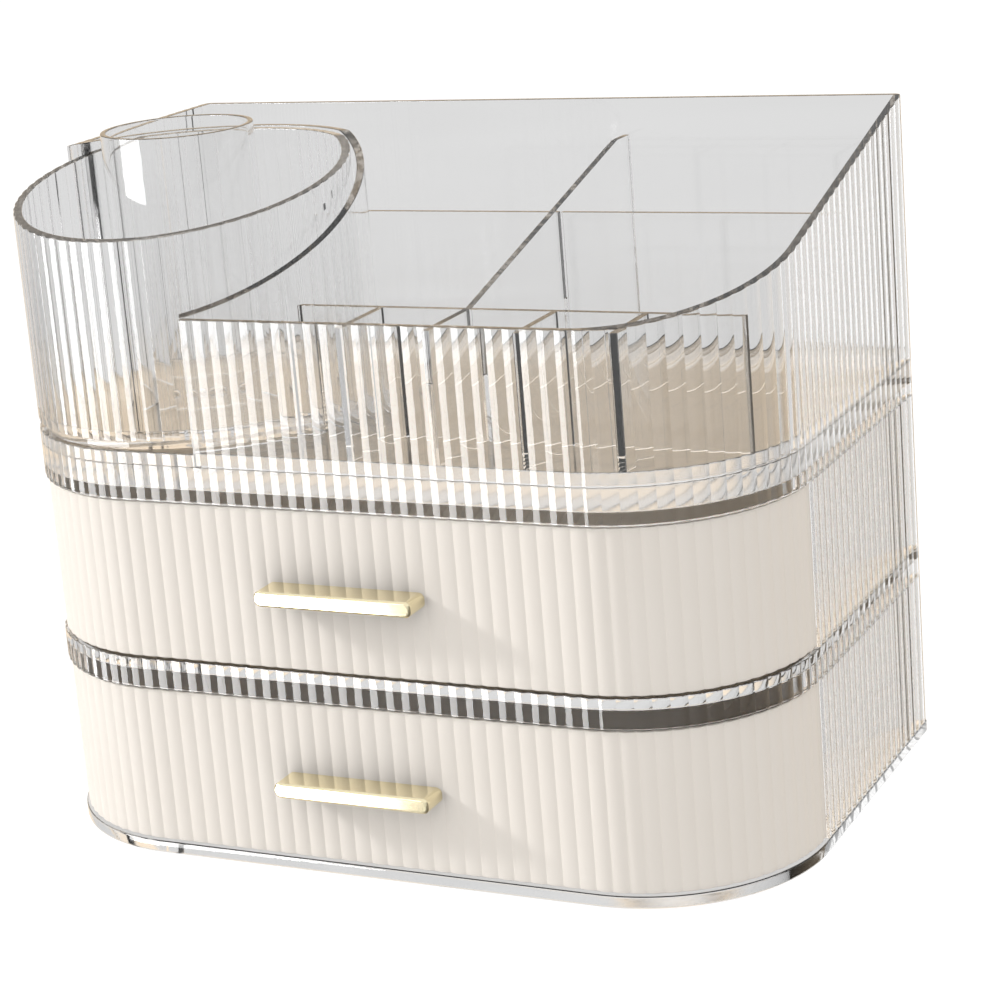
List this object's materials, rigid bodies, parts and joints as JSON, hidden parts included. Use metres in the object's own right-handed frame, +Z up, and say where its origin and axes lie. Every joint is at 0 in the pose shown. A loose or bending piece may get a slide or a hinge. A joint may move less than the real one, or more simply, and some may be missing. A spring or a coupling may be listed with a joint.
{
  "type": "makeup box with drawers",
  "caption": "Reeded clear makeup organiser with pull-out drawers on bar handles, a divided open tray on top and a turning brush drum in its front left corner.",
  "frame": {"origin": "on the table, under the middle of the closed box's bounding box, handles included", "axes": "+X to the right seen from the drawers' side, +Y from the drawers to the back, +Z up"},
  "size_m": [0.292, 0.191, 0.255],
  "materials": {
    "clear": "clear, polished",
    "cream": "cream, satin",
    "gold": "pale gold, polished",
    "steel": "plain zinc-plated",
    "pads": "matt, translucent grey"
  },
  "bodies": {
    "case": {"base_plate": "clear", "rubber_feet": "pads", "lower_walls": "clear", "middle_shelf": "clear", "upper_walls": "clear", "top_shelf": "clear", "tray_floor": "clear", "tray_walls": "clear", "drum_cradle": "clear", "rack_panel": "clear", "rack_dividers": "clear", "middle_divider": "clear", "long_divider": "clear", "turntable": "clear"},
    "lower_drawer": {"lower_drawer_front": "cream", "lower_drawer_box": "cream", "lower_handle": "gold", "lower_handle_screws": "steel"},
    "upper_drawer": {"upper_drawer_front": "cream", "upper_drawer_box": "cream", "upper_handle": "gold", "upper_handle_screws": "steel"},
    "drum": {"brush_drum": "clear", "drum_tube": "clear"}
  },
  "joints": [
    {"name": "lower_drawer_slide", "type": "slide", "parent": "case", "child": "lower_drawer", "axis": [0, -1, 0], "range_m": [0, 0.12]},
    {"name": "upper_drawer_slide", "type": "slide", "parent": "case", "child": "upper_drawer", "axis": [0, -1, 0], "range_m": [0, 0.12]},
    {"name": "drum_turn", "type": "hinge", "parent": "case", "child": "drum", "pos_m": [-0.085, -0.0245, 0.155], "axis": [0, 0, 1], "continuous": true}
  ]
}
